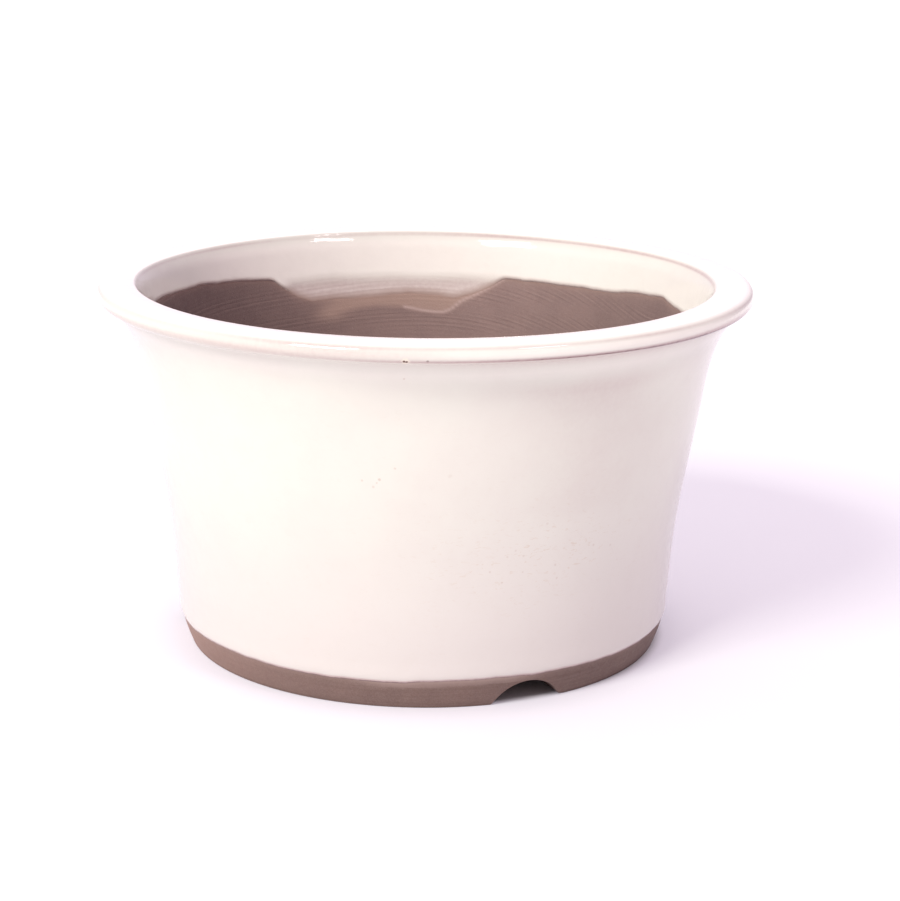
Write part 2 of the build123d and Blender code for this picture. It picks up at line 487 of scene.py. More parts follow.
def srgb(red, green, blue):
    """Linear colour from screen values of 0 to 255."""
    def one(value):
        value /= 255
        return value / 12.92 if value <= 0.04045 else ((value + 0.055) / 1.055) ** 2.4
    return (one(red), one(green), one(blue), 1.0)


CREAM, CREAM_SHADE, CREAM_LOW = srgb(225, 223, 212), srgb(223, 219, 209), srgb(215, 208, 202)
# The whitest glaze colour is painted light: on top of the lip, along the nose and inside the mouth.
LIT_GLAZE_WHITE = srgb(246, 240, 231)
CLOUD = srgb(206, 194, 184)
FLECK = srgb(130, 92, 74)
DASH = srgb(196, 166, 132)
# The rosy and brown colours for thin glaze also carry painted shade and a painted reflection line.
ROSY_THIN_AND_SHADE, BROWN_THIN_AND_SHADE = srgb(192, 170, 166), srgb(112, 87, 84)  # glaze as it gets thinner
THIN_STREAK, THIN_FILM = srgb(156, 130, 124), srgb(166, 140, 129)  # on the tongue inside
GRAIN_DARK, GRAIN_PALE = srgb(70, 52, 46), srgb(150, 128, 116)
FOOT_CLAY, FOOT_CLAY_PALE = srgb(110, 88, 82), srgb(118, 95, 88)
# The foot's bottom-edge colour is painted shade where it meets the table; its pale colour is a painted
# sheen.
FOOT_TURNED, FOOT_CONTACT_SHADE = srgb(94, 74, 66), srgb(80, 62, 56)
FOOT_SHEEN_TONE, FOOT_HAZE = srgb(157, 126, 115), srgb(152, 131, 123)
# Shaded and lit copies of the inner clay, for painted shade and painted light.
SHADED_CLAY, SHADED_CLAY_PALE = srgb(106, 87, 84), srgb(114, 94, 90)
LIT_CLAY, LIT_CLAY_PALE = srgb(142, 118, 113), srgb(150, 125, 119)
# Painted shade in the grooves and painted light on the crests of the throwing ridges.
GROOVE_SHADE, RIDGE_LIGHT = srgb(88, 68, 64), srgb(164, 138, 130)
WASH, WASH_EDGE = srgb(166, 139, 127), srgb(186, 161, 154)
PAPER, PAPER_SHADE = (0.63, 0.63, 0.63, 1), (0.61, 0.61, 0.61, 1)
NO_GLOW, GLOW, FAR_GLOW = (0, 0, 0, 1), (0.285, 0.26, 0.31, 1), (0.7, 0.7, 0.7, 1)


def speck_marks(n, colour, uneven):
    """Adds the glaze's larger specks and the burst pinhole, each at its own place."""
    for tone, specks in SPECKS:
        for degrees, height, radius, strength in specks:
            a, r = math.radians(degrees), surface_radius(height)
            node = n.add("ShaderNodeVectorMath", operation="DISTANCE")
            n.link(n.place, node.inputs[0])
            node.inputs[1].default_value = (r * math.sin(a) * MM, -r * math.cos(a) * MM, height * MM)
            wobble = n.maths("MULTIPLY", n.maths("SUBTRACT", uneven, 0.5), 0.9 * radius * MM)
            away = n.maths("ADD", node.outputs["Value"], wobble)
            amount = n.between(away, 0.35 * radius * MM, radius * MM, strength, 0.0)
            colour = n.blend(amount, colour, srgb(*tone))
    return colour


def fleck_marks(n):
    """Small brown flecks: a few of many scattered points, in patches."""
    distance, own = n.cells(0.22)
    chance = n.add("ShaderNodeSeparateColor")
    n.link(own, chance.inputs[0])
    spot = n.between(distance, 0.06, 0.13, 1.0, 0.0)
    picked = n.between(chance.outputs[0], 0.93, 0.97)
    patch = n.between(n.noise(0.05, detail=1.0), 0.5, 0.62)
    return n.maths("MULTIPLY", n.maths("MULTIPLY", spot, picked), patch)


def glaze_material():
    """Glossy cream glaze, faintly mottled: brown where thin, with painted light and shade, flecks and
    pinholes.
    """
    n = Surface("cream_glaze")
    # thin: thin glaze, with painted shade and a painted reflection line mixed in
    thin = n.attribute("thin")

    broad = n.between(n.noise(0.05, detail=3.0, rough=0.55), 0.3, 0.7)
    outside = n.blend(broad, CREAM, CREAM_SHADE)
    low = n.blend(n.between(n.height(), 6.0, 60.0, 1.0, 0.0), outside, CREAM_LOW)
    # painted light: the glaze is whiter where it is lit, with a painted highlight along the nose
    cream = n.blend(n.attribute("inside"), low, LIT_GLAZE_WHITE)
    clouds = n.between(n.noise(0.22, detail=4.0, rough=0.6), 0.45, 0.75, 0.0, 0.06)
    cloudy = n.blend(clouds, cream, CLOUD)

    fleck = fleck_marks(n)
    speckled = n.blend(n.maths("MULTIPLY", fleck, 0.55), cloudy, FLECK)

    line = n.noise(0.55, detail=2.0, rough=0.6, where=n.stretched((1.0, 1.0, 3.2)), warp=1.0)
    dashes = n.maths("MULTIPLY", n.between(line, 0.60, 0.70), n.attribute("flecked"))
    marked = n.blend(n.maths("MULTIPLY", dashes, 0.30), speckled, DASH)

    # the brown of thin glaze and of painted shade has a ragged edge
    wander = n.maths("SUBTRACT", n.noise(0.9, detail=3.0, rough=0.6), 0.5)
    ragged = n.maths("ADD", thin, n.maths("MULTIPLY", wander, n.maths("MULTIPLY", thin, 0.5)))
    rosy = n.blend(n.between(ragged, 0.0, 0.6), marked, ROSY_THIN_AND_SHADE)
    brown = n.blend(n.between(ragged, 0.5, 1.0), rosy, BROWN_THIN_AND_SHADE)
    streaked = n.blend(n.maths("MULTIPLY", n.attribute("streak"), 0.26), brown, THIN_STREAK)
    filmed = n.blend(n.attribute("film"), streaked, THIN_FILM)
    n.link(speck_marks(n, filmed, n.noise(1.6, detail=2.0)), n.shader.inputs["Base Color"])

    rough = n.between(n.noise(0.5, detail=3.0, rough=0.6), 0.3, 0.8, 0.05, 0.11)
    worn = n.maths("ADD", rough, n.maths("MULTIPLY", n.attribute("dull"), 0.32))
    n.link(worn, n.shader.inputs["Roughness"])
    n.shader.inputs["IOR"].default_value = 1.5

    peel = n.bump(n.noise(0.30, detail=2.0, rough=0.5), mm=0.05)
    pits = n.bump(n.maths("SUBTRACT", 1.0, fleck), mm=0.08, under=peel)
    n.link(pits, n.shader.inputs["Normal"])
    return n.material


def clay_colour(n, dark, pale, grains=0.22):
    """Mottled stoneware between two colours, with fine dark and pale grains."""
    body = n.blend(n.between(n.noise(0.12, detail=5.0, rough=0.6), 0.3, 0.7), dark, pale)
    grain = n.between(n.noise(3.0, detail=3.0, rough=0.7), 0.3, 0.7)
    return n.blend(grains, body, n.blend(grain, GRAIN_DARK, GRAIN_PALE))


def clay_surface(n, colour, smoothest, roughest, grain_mm):
    """Finishes a matte clay: its colour, roughness and grain, with a few pits."""
    n.link(colour, n.shader.inputs["Base Color"])
    rough = n.between(n.noise(0.9, detail=3.0), 0.3, 0.7, smoothest, roughest)
    n.link(rough, n.shader.inputs["Roughness"])
    grain = n.bump(n.noise(2.6, detail=4.0, rough=0.65), mm=grain_mm)
    distance, _ = n.cells(0.7)
    pits = n.bump(n.between(distance, 0.05, 0.16), mm=0.04, under=grain)
    n.link(pits, n.shader.inputs["Normal"])
    return n.material


def foot_material():
    """Bare, turned and wiped clay of the foot, with a painted sheen and painted shade at its bottom
    edge.
    """
    n = Surface("bare_clay_foot")
    clay = clay_colour(n, FOOT_CLAY, FOOT_CLAY_PALE)
    rings = n.noise(0.35, detail=3.0, rough=0.6, where=n.stretched((0.08, 0.08, 4.0)))
    turned = n.blend(n.between(rings, 0.4, 0.7, 0.0, 0.35), clay, FOOT_TURNED)
    # painted sheen on the foot, strongest on its left
    sheened = n.blend(n.attribute("painted_sheen"), turned, FOOT_SHEEN_TONE)
    hazy = n.blend(n.attribute("haze"), sheened, FOOT_HAZE)
    # painted shade along the bottom edge, where the foot meets the table
    contact_shade = n.between(n.height(), 0.0, 0.9, 0.5, 0.0)
    return clay_surface(n, n.blend(contact_shade, hazy, FOOT_CONTACT_SHADE), 0.68, 0.84, grain_mm=0.03)


def clay_material():
    """Bare clay inside, with throwing ridges, the dried wash of thin glaze, and painted light and shade.
    """
    n = Surface("bare_clay")
    dark = clay_colour(n, SHADED_CLAY, SHADED_CLAY_PALE, grains=0.12)
    pale = clay_colour(n, LIT_CLAY, LIT_CLAY_PALE, grains=0.12)
    # painted light: a lit copy of the clay at the back, a shaded copy on the left
    clay = n.blend(n.attribute("pale"), dark, pale)
    crest = n.attribute("ridge")
    # painted shade in the grooves and painted light on the crests of the ridges
    groove_shaded = n.blend(n.between(crest, -0.2, -1.3, 0.0, 0.30), clay, GROOVE_SHADE)
    ridge_lit = n.blend(n.between(crest, 0.2, 1.3, 0.0, 0.30), groove_shaded, RIDGE_LIGHT)
    washed = n.blend(n.attribute("wash"), ridge_lit, WASH)
    rimmed = n.blend(n.attribute("rim"), washed, WASH_EDGE)
    return clay_surface(n, rimmed, 0.70, 0.88, grain_mm=0.05)


def table_material():
    """Matte white paper. Around the pot it glows by itself, to match the photo's blown-out paper."""
    n = Surface("white_table")
    n.link(n.blend(n.noise(0.01, detail=2.0), PAPER, PAPER_SHADE), n.shader.inputs["Base Color"])
    n.shader.inputs["Roughness"].default_value = 0.9
    away = n.add("ShaderNodeVectorMath", operation="LENGTH")
    n.link(n.place, away.inputs[0])
    away = away.outputs["Value"]
    across = n.add("ShaderNodeSeparateXYZ")
    n.link(n.place, across.inputs[0])
    # no glow under the pot, nor just past it on the right, where it leaves a painted contact shadow
    contact_shadow = n.between(across.outputs[0], 0.025, 0.05, 0.0, 0.0022)
    past_foot = n.maths("SUBTRACT", away, contact_shadow)
    open_paper = n.between(past_foot, FOOT_R * MM - 0.003, FOOT_R * MM + 0.0005)
    near = n.blend(open_paper, NO_GLOW, GLOW)
    far = n.between(away, 0.22, 0.7)
    n.link(n.blend(far, near, FAR_GLOW), n.shader.inputs["Emission Color"])
    n.shader.inputs["Emission Strength"].default_value = 1.0
    n.shader.inputs["Specular IOR Level"].default_value = 0.1
    return n.material


# ---- lines of the section ----
even = np.linspace(-180, 180, COLUMNS, endpoint=False)
nose_start = arc(NOSE_MID, NOSE_R, NOSE_FROM, NOSE_TOP, 2)[0]
outer_run = spline(OUTER_WALL + [nose_start], 400)
mouth_edge = arc((MOUTH_R + MOUTH_EDGE, MOUTH_Z - MOUTH_EDGE), MOUTH_EDGE, MOUTH_FROM, MOUTH_TO, 14)
inner_run = spline([mouth_edge[-1]] + INNER_WALL, 400)
CORNER_Z = outer_run[-1, 1]  # the corner between the flare and the nose
POOL_FROM = CORNER_Z - POOL_DROP


def outer_radius(height):
    """Radius of the glazed outer wall at a height below the lip."""
    return np.interp(height, outer_run[:, 1], outer_run[:, 0])


def surface_radius(height):
    """Outermost radius of the glaze at one height, on the wall or on the lip's nose."""
    if height < CORNER_Z:
        return float(outer_radius(height))
    return NOSE_MID[0] + math.sqrt(NOSE_R**2 - (height - NOSE_MID[1]) ** 2)


def clay_inner_radius(height):
    """Radius of the clay inside: the CAD's, stepping back behind the glaze near the mouth."""
    cad_radius = np.interp(height, inner_run[::-1, 1], inner_run[::-1, 0])
    return cad_radius + GLAZE_T * smoothstep(66, 79, height)


def lip_profile():
    """Section of the lip from the glaze that pooled under the nose to the mouth's inner edge."""
    corner = outer_run[-1]
    nose = arc(NOSE_MID, NOSE_R, POOL_TO, NOSE_TOP, 30)
    flare = np.array([outer_radius(POOL_FROM), POOL_FROM])
    t = np.linspace(0, 1, POOL_ROWS + 1)[:-1, None]
    pool = (1 - t) ** 2 * flare + 2 * t * (1 - t) * corner + t**2 * nose[0]
    top = spline([nose[-1], CROWN, mouth_edge[0]], 24)
    return np.concatenate([pool, nose, top[1:-1], mouth_edge])


# ---- glaze ----
def glaze_bottom(foot_edge):
    """Lowest rows of the glaze, a rounded roll where it stopped, and their heights above its edge."""
    roll_h, roll_t = 1.6, 0.40
    turning = roll_h * (1 - np.cos(np.linspace(0, math.pi / 2, 9)))
    up = np.concatenate([turning, np.linspace(2.2, 8, 10)])
    rise = up[:, None] + foot_edge
    clay = outer_radius(np.maximum(rise, FOOT_H)) - roll_t
    roll = np.sqrt(np.clip(1 - (1 - np.clip(up / 1.5, 0, 1)) ** 2, 0, 1))[:, None]
    swell = 0.22 * bell(up, roll_h, 2.2)[:, None]
    return polar(clay + roll_t * roll + swell * roll, rise, even), up


def glaze_wall(start):
    """Rows of the outer wall, from a height at each angle up to the glaze pooled under the nose."""
    climb = np.linspace(0, 1, 60)[1:-1, None]
    height = start + (POOL_FROM - start) * climb
    wave = 0.035 * ripple(even, 31, (3, 5, 9)) * np.sin(height / 9.0)
    return polar(outer_radius(height) + wave, height, even)


def glaze_mouth(mouth_z):
    """Rows inside the mouth, down to the ragged edge, with their heights and where they are thin."""
    edge = glaze_edge_inside(even)
    down = np.linspace(0, 1, 50)[1:, None] ** 0.9
    height = mouth_z + (edge - mouth_z) * down
    above = height - edge
    thin = tongue(even, height)
    coat = GLAZE_T * (1 - 0.86 * thin)
    bead = smoothstep(-1.1, 1.3, above) * np.sqrt(np.clip(above / 0.4, 0, 1))
    bare = (1 - bead * (1 - 0.7 * thin)) * RIDGE_DEPTH * ridges(even, height)
    radius = clay_inner_radius(height) - coat * bead + bare
    return polar(radius, height, even), height, above, thin


def glaze_back(section):
    """Back of the skin, against the clay: the same section in fewer rows, up to 0.42 mm in."""
    last = len(section) - 1
    rows = np.unique(np.linspace(1, last - 1, 28).astype(int))
    along = np.gradient(section, axis=0)
    along /= np.maximum(np.linalg.norm(along, axis=-1, keepdims=True), 1e-9)
    inwards = np.stack([-along[..., 1], along[..., 0]], -1)
    depth = np.minimum(0.42, 0.06 * np.minimum(rows, last - rows))[:, None, None]
    back = section[rows] + inwards[rows] * depth
    return polar(back[..., 0], back[..., 1], even)[::-1]


def thin_and_shade_on_nose(radius, height, nose):
    """Thin glaze and painted shade on the nose: a painted reflection on its shoulder, the line under it,
    shade.
    """
    on_nose = np.hypot(height - NOSE_MID[1], radius - NOSE_MID[0]) < NOSE_R + 0.05
    outer_side = radius > NOSE_MID[0] - 1.0
    tint = bell(nose, 0, 38) * around(NOSE_SHADE, even, 5.0)
    strength = around(SHOULDER_REFLECTION, even, 8.0) + 0.05 * ripple(even, 33, (3, 7, 12))
    shoulder = bell(nose, 37, 10 + 5 * smoothstep(0, -20, even)) * strength
    # the line under the nose is broader, higher and fainter on the left of the front
    left = smoothstep(-5, -40, even)
    width = 15 + 19 * smoothstep(32, 68, even) + 12 * left
    below = bell(nose, 18 * left - 44, width) * around(UNDER_NOSE_THIN_AND_SHADE, even, 6.0)
    below = below * (1 - (0.6 + 0.3 * left) * smoothstep(-50, -80, nose))
    return on_nose * outer_side * np.clip(shoulder + below + tint, 0, 1)


def thin_and_shade_on_wall(height):
    """Painted shade, partly thin glaze, on the outer wall: under the nose, in the flare's curve and in
    the tall patch.
    """
    shade_under_nose = around(FLARE_THIN_AND_SHADE, even, 6.0) * np.exp(-np.clip(CORNER_Z - height, 0, None) / 1.3)
    # the painted shadow of the lip in the flare's curve
    curve = 0.11 * around(LIP_SHADOW, even, 8.0) * bell(height, 75.5, 2.8)
    # the tall patch of painted shade
    patch = around(SHADE_PATCH, even, 4.0) * smoothstep(78, 74, height) * smoothstep(38, 48, height)
    return shade_under_nose + curve + patch * (1 + 0.35 * bell(height, 70.5, 3.5))


def thin_in_mouth(radius, height):
    """Thin glaze where it turns over the mouth's edge, fading out below."""
    in_mouth = (radius < MOUTH_R + 1.2) * (height > 70)
    strength = around(CREST_LINE, even, 6.0) + 0.07 * ripple(even, 34, (3, 5, 11))
    crest = bell(height, CREST_Z, 0.40) * strength
    trail = 0.10 * np.exp(-np.clip(CREST_Z - height, 0, 20) / 1.7) * (height < CREST_Z)
    return in_mouth * (crest + trail)


def painted_light_outside(radius, height, nose):
    """Painted light on top of the lip, a painted highlight along its nose and, fainter, in the curve
    under it.
    """
    facing = np.where(radius > NOSE_MID[0], nose, 90)
    band = smoothstep(-32, -14, facing) * (1 - smoothstep(18, 28, facing)) * around(NOSE_HIGHLIGHT, even, 6.0)
    on_lip = smoothstep(45, 70, facing) + band
    lit_under_lip = 0.3 * bell(height, 79.6, 1.5)
    white = np.where(height > POT_H - 4.0, on_lip, lit_under_lip)
    return np.where(radius > MOUTH_R + 0.6, white, 0)


def make_glaze(material):
    """One skin of glaze from the foot, up the outside, over the lip and down inside the mouth."""
    lip = lip_profile()
    foot_edge = glaze_edge_foot(even)
    bottom, up = glaze_bottom(foot_edge)
    wall = glaze_wall(foot_edge + up[-1])
    over = polar(lip[:, :1], lip[:, 1:], even)
    mouth, mouth_height, above, thin = glaze_mouth(lip[-1, 1])
    outside = np.concatenate([bottom, wall, over, mouth])
    section = np.stack([np.hypot(outside[..., 0], outside[..., 1]), outside[..., 2]], -1)
    hidden = glaze_back(section)

    in_bottom = slice(0, len(bottom))
    in_front = slice(0, len(bottom) + len(wall))
    in_wall = slice(len(bottom), len(bottom) + len(wall) + POOL_ROWS)
    in_mouth = slice(len(outside) - len(mouth), None)
    radius, height = section[..., 0], section[..., 1]
    nose = np.degrees(np.arctan2(height - NOSE_MID[1], radius - NOSE_MID[0]))
    tones = ("flecked", "thin", "streak", "inside", "film", "dull")
    paint = {tone: np.zeros(radius.shape) for tone in tones}

    # fine ochre dashes: most of them low on the right of the front
    gathered = bell(even, 24, 20) * bell(height, 36, 10)
    below_flare = 1 - smoothstep(70, 76, height[in_front])
    paint["flecked"][in_front] = below_flare * (0.12 + 0.88 * gathered[in_front])

    # brown where the glaze runs thin, also at its two edges, and painted shade and a painted reflection
    # on the lip
    shade = thin_and_shade_on_nose(radius, height, nose)
    shade[in_bottom] += np.clip(1.1 - up / 0.9, 0, 1)[:, None]
    shade[in_wall] += thin_and_shade_on_wall(height[in_wall])
    shade += thin_in_mouth(radius, height)
    shade[in_mouth] += 0.35 * thin + 0.48 * bell(above, 0, 0.8) * (1 - thin)
    paint["thin"][:] = np.clip(shade, 0, 1)

    # the tongue is streaked by the ridges under it, and ends in a film
    paint["streak"][in_mouth] = thin * np.clip(0.5 + 0.5 * ridges(even, mouth_height), 0, 1)
    paint["film"][in_mouth] = np.clip(1 - above / 2.2, 0, 1) * thin
    paint["dull"][in_bottom] = np.clip(1.0 - up / 0.8, 0, 1)[:, None]
    paint["dull"][in_mouth] = np.clip(thin + np.clip(1 - above / 0.6, 0, 1), 0, 1)

    # painted light: whiter on top of the lip and inside the mouth, with a painted highlight along the
    # nose
    paint["inside"][:] = painted_light_outside(radius, height, nose)
    paint["inside"][in_mouth] = smoothstep(86.2, 83.5, mouth_height) * around(MOUTH_LIGHT, even, 4.0)

    unpainted = np.zeros(hidden.shape[:2])
    paint = {key: np.concatenate([values, unpainted]) for key, values in paint.items()}
    return ring_piece("glaze_skin", np.concatenate([outside, hidden]), material, paint, sharp=60)


# ---- wall ----
def make_wall(material):
    """Thrown wall: ridged clay inside, plain behind the glaze."""
    cove = arc((FLOOR_R + 2, FLOOR_TOP + COVE_R), COVE_R, -90, -4, 10)
    inner_z = np.arange(cove[-1, 1] + 0.3, WALL_TOP, 0.31)
    relief = RIDGE_DEPTH * ridges(even, inner_z[:, None]) * smoothstep(20, 26, inner_z)[:, None]
    top_r = np.linspace(clay_inner_radius(WALL_TOP) + 0.6, outer_radius(WALL_TOP) - 0.8, 4)
    back_z = np.linspace(WALL_TOP - 1.0, FOOT_H + 0.5, 10)
    under_r = np.array([FOOT_TOP_R - 1.2, FLOOR_R])
    points = np.concatenate([
        polar(np.array([[FLOOR_R]]), FLOOR_TOP, even),
        polar(cove[:, :1], cove[:, 1:], even),
        polar(clay_inner_radius(inner_z)[:, None] + relief, inner_z[:, None], even),
        polar(top_r[:, None], WALL_TOP, even),
        polar((outer_radius(back_z) - 0.75)[:, None], back_z[:, None], even),
        polar(under_r[:, None], FOOT_H, even),
    ])

    z = points[..., 2]
    d = past_back(even)
    on_inner = np.zeros((len(points), 1))
    on_inner[: 1 + len(cove) + len(inner_z)] = 1
    rim = bell(near_line(d, z, WASH_RIM), 0, 0.38)
    between_sides = smoothstep(-197, -192, d) * (1 - smoothstep(-163, -152, d))
    wash = between_sides * smoothstep(-1.1, 0.9, z - around(WASH_TOP, even, 1.0))
    blob = bell(np.radians(d + 156.5) * WASH_R, 0, 4.4) * bell(z, 66.6, 2.0)
    edge = np.exp(-np.abs(z - glaze_edge_inside(even)) / 0.8)
    paint = {
        "ridge": ridges(even, z) * on_inner,
        "wash": np.clip(0.85 * wash + 0.9 * blob + 0.5 * edge, 0, 1) * on_inner,
        "rim": 0.9 * rim * on_inner,
        # painted light and shade on the clay inside: lit at the back, shaded on the left
        "pale": around(CLAY_LIGHT, even, 4.0) * on_inner,
    }
    return ring_piece("clay_wall", points, material, paint)


# ---- foot ----
def notch_height(degrees, radius):
    """Height of the foot's underside: zero, or the crown of a notch, with eased corners."""
    result = np.zeros(np.broadcast(degrees, radius).shape)
    sunk = NOTCH_CUTTER_R - NOTCH_H  # the round cutter's middle is this far under the table
    far = 99.0
    for index in range(NOTCH_COUNT):
        off = turn(degrees - NOTCH_FIRST - NOTCH_STEP * index)
        aside = np.where(np.abs(off) < 40, radius * np.sin(np.radians(off)), far)
        cut = np.sqrt(np.clip(NOTCH_CUTTER_R**2 - aside**2, 0, None)) - sunk - 0.2
        beyond = np.clip(np.abs(aside) - NOTCH_CUTTER_R, 0, None)
        arch = np.where(beyond > 0, -sunk - 3 * beyond, cut)
        ease = 0.5 + 2.2 * smoothstep(-1.0, 7.0, aside)  # thumbed smoother on the right
        eased = 0.5 * (arch + np.sqrt(arch**2 + ease**2)) - 0.06 * ease - 0.05
        result = np.maximum(result, eased)
    return np.clip(result, 0, None)


def foot_radius(height):
    """Outer radius of the bare foot band at a height."""
    t = np.asarray(height, float) / FOOT_H
    return FOOT_R + (FOOT_TOP_R - FOOT_R) * (1.37 * t - 0.37 * t * t) - 0.15


def foot_columns():
    """Angles of the foot's vertices, closer together at the notches."""
    angles = []
    for index in range(NOTCH_COUNT):
        middle = NOTCH_FIRST + NOTCH_STEP * index
        angles.append(middle + np.arange(-12, 12, 0.25))
        angles.append(middle + np.arange(12, NOTCH_STEP - 12, 0.8))
    return np.sort(turn(np.concatenate(angles)))


def make_foot(material):
    """Foot ring with its notches."""
    columns = foot_columns()
    edge = FOOT_EDGE
    top = FOOT_H + FOOT_TUCK
    sill = notch_height(columns, foot_radius(0) - 1.0)
    outer_z = notch_height(columns, foot_radius(sill))
    inner_z = notch_height(columns, np.full(len(columns), FOOT_INNER_R))
    outer_r = foot_radius(outer_z + edge)
    rows = []
    for share in np.linspace(1, 0, 22):  # outer face, downwards
        z = outer_z + edge + (top - outer_z - edge) * share
        rows.append(polar(foot_radius(z), z, columns))
    for a in np.radians(np.linspace(10, 90, 7)):  # outer edge, rounded
        rows.append(polar(outer_r - edge * (1 - np.cos(a)), outer_z + edge * (1 - np.sin(a)), columns))
    for share in np.linspace(0, 1, 14)[1:-1]:  # underside
        r = outer_r - edge + (FOOT_INNER_R + edge - (outer_r - edge)) * share
        rows.append(polar(r, notch_height(columns, r), columns))
    for a in np.radians(np.linspace(90, 10, 6)):  # inner edge, rounded
        z = inner_z + edge * (1 - np.sin(a))
        rows.append(polar(FOOT_INNER_R + edge * (1 - np.cos(a)), z, columns))
    for share in np.linspace(0, 1, 7)[1:]:  # inner face, upwards
        z = inner_z + edge + (FOOT_H - inner_z - edge) * share
        slope = (FOOT_INNER_TOP_R - FOOT_INNER_R) * np.clip(z / FOOT_H, 0, 1)
        rows.append(polar(FOOT_INNER_R + slope, z, columns))
    for z in (FOOT_H, top):  # behind the roll of glaze
        rows.append(polar(FOOT_TOP_R - 2.6, z, columns))
    points = np.stack(rows)

    below = glaze_edge_foot(columns) - points[..., 2]
    close = np.exp(-np.clip(below, 0, None) / 0.5)
    front = smoothstep(-18, -6, columns) * (1 - smoothstep(18, 28, columns))
    strip = front * (1 - smoothstep(1.15, 1.35, below)) * (0.35 + 0.5 * close)
    outside = np.hypot(points[..., 0], points[..., 1]) > FOOT_R - 1.0
    paint = {
        "haze": np.clip(0.35 * close + strip, 0, 1) * outside,
        # painted sheen, strongest on the foot's left
        "painted_sheen": around(FOOT_SHEEN, columns, 3.0) * outside,
    }
    return ring_piece("clay_foot", points, material, paint, sharp=65)


# ---- floor ----
def circle(middle, radius, count):
    """Points of a circle in plan."""
    angles = (math.tau * k / count for k in range(count))
    return [(middle[0] + radius * math.cos(a), middle[1] + radius * math.sin(a)) for a in angles]


def floor_plan(holes):
    """Flat mesh of the floor around its holes: points, faces, and the numbers of each edge's points."""
    flat, edges, loops = [], [], []
    outlines = [((0, 0), FLOOR_R, 216)]
    outlines += [(middle, r + RIM_EASE, count) for middle, r, count in holes]
    for middle, radius, count in outlines:
        first = len(flat)
        flat.extend(Vector(p) for p in circle(middle, radius, count))
        edges.extend((first + k, first + (k + 1) % count) for k in range(count))
        loops.append(list(range(first, first + count)))

    def clear_of_holes(point, margin):
        return all((point - Vector(middle)).length > r + RIM_EASE + margin for middle, r, _ in holes)

    step = 1.4
    for ring in range(1, int((FLOOR_R - DRAIN_R - 2) / step)):
        r = FLOOR_R - step * ring
        count = int(math.tau * r / step)
        for k in range(count):
            a = math.tau * (k + 0.5 * (ring % 2)) / count
            point = Vector((r * math.cos(a), r * math.sin(a)))
            if clear_of_holes(point, 0.7):
                flat.append(point)
    points, _, triangles, *_ = geometry.delaunay_2d_cdt(flat, edges, [], 0, 1e-5)
    assert len(points) == len(flat)

    faces = []
    for triangle in triangles:
        middle = sum((points[i] for i in triangle), Vector((0, 0))) / len(triangle)
        if clear_of_holes(middle, 0.0):
            faces.append(list(triangle))
    return np.array([tuple(p) for p in points]), faces, loops


def floor_relief(plan, holes):
    """Height of a faint finger spiral, flat near the holes and the wall. It is guessed."""
    radius = np.hypot(plan[:, 0], plan[:, 1])
    spiral = np.sin(math.tau * radius / 3.1 + np.arctan2(plan[:, 1], plan[:, 0]))
    relief = 0.07 * spiral * smoothstep(DRAIN_R + 1, DRAIN_R + 4, radius)
    relief *= 1 - smoothstep(FLOOR_R - 5, FLOOR_R - 1, radius)
    for middle, hole_r, _ in holes[1:]:
        away = np.hypot(plan[:, 0] - middle[0], plan[:, 1] - middle[1])
        relief *= smoothstep(hole_r + RIM_EASE, hole_r + RIM_EASE + 1.5, away)
    return relief


def loop_faces(loops):
    """Quads between successive loops of vertex numbers."""
    faces = []
    for upper, lower in zip(loops, loops[1:]):
        n = len(upper)
        for k in range(n):
            faces.append([upper[k], lower[k], lower[(k + 1) % n], upper[(k + 1) % n]])
    return faces


def make_floor(material):
    """Floor slab with the drain hole and four wire holes, all with softened rims."""
    holes = [((0.0, 0.0), DRAIN_R, 96)]
    for index in range(4):
        a = math.radians(WIRE_FIRST + 90 * index)
        holes.append(((WIRE_CIRCLE_R * math.cos(a), WIRE_CIRCLE_R * math.sin(a)), WIRE_HOLE_R, 48))
    plan, upper, (outer, *rims) = floor_plan(holes)

    count = len(plan)
    vertices = [(x, y, FLOOR_TOP + lift) for (x, y), lift in zip(plan, floor_relief(plan, holes))]
    vertices += [(x, y, FLOOR_UNDER) for x, y in plan]
    faces = upper + [[count + i for i in reversed(face)] for face in upper]
    faces += loop_faces([outer[::-1], [count + i for i in reversed(outer)]])
    for (middle, hole_r, number), rim in zip(holes, rims):
        steps = [(hole_r + RIM_EASE * (1 - math.sin(a)), RIM_EASE * (1 - math.cos(a)))
                 for a in np.radians([22, 45, 68, 90])]
        levels = [(r, FLOOR_TOP - depth) for r, depth in steps]
        levels += [(r, FLOOR_UNDER + depth) for r, depth in reversed(steps)]
        loops = [rim]
        for r, z in levels:
            loops.append(list(range(len(vertices), len(vertices) + number)))
            vertices.extend((x, y, z) for x, y in circle(middle, r, number))
        loops.append([count + i for i in rim])
        faces += loop_faces(loops)
    piece = mesh_piece("clay_floor", vertices, faces, material, sharp=60)
    for key in ("ridge", "wash", "rim", "pale"):  # left at zero: the floor has none of them
        piece.data.attributes.new(key, "FLOAT", "POINT")
    return piece


# ---- build ----
glaze = glaze_material()
clay = clay_material()
foot_clay = foot_material()

pieces = (
    (make_glaze(glaze), "glaze_coat", "cream_glaze"),
    (make_wall(clay), "pot_wall", "bare_clay"),
    (make_foot(foot_clay), "foot_ring", "bare_clay_foot"),
    (make_floor(clay), "floor_slab", "bare_clay"),
)
for piece, node, slot in pieces:
    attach(piece, "root")
    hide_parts(node)

# The lip's clay stays as the CAD has it, inside the glaze.
lip_core = frame["nodes"]["rolled_lip"]
lip_core.data.materials.clear()
lip_core.data.materials.append(clay)


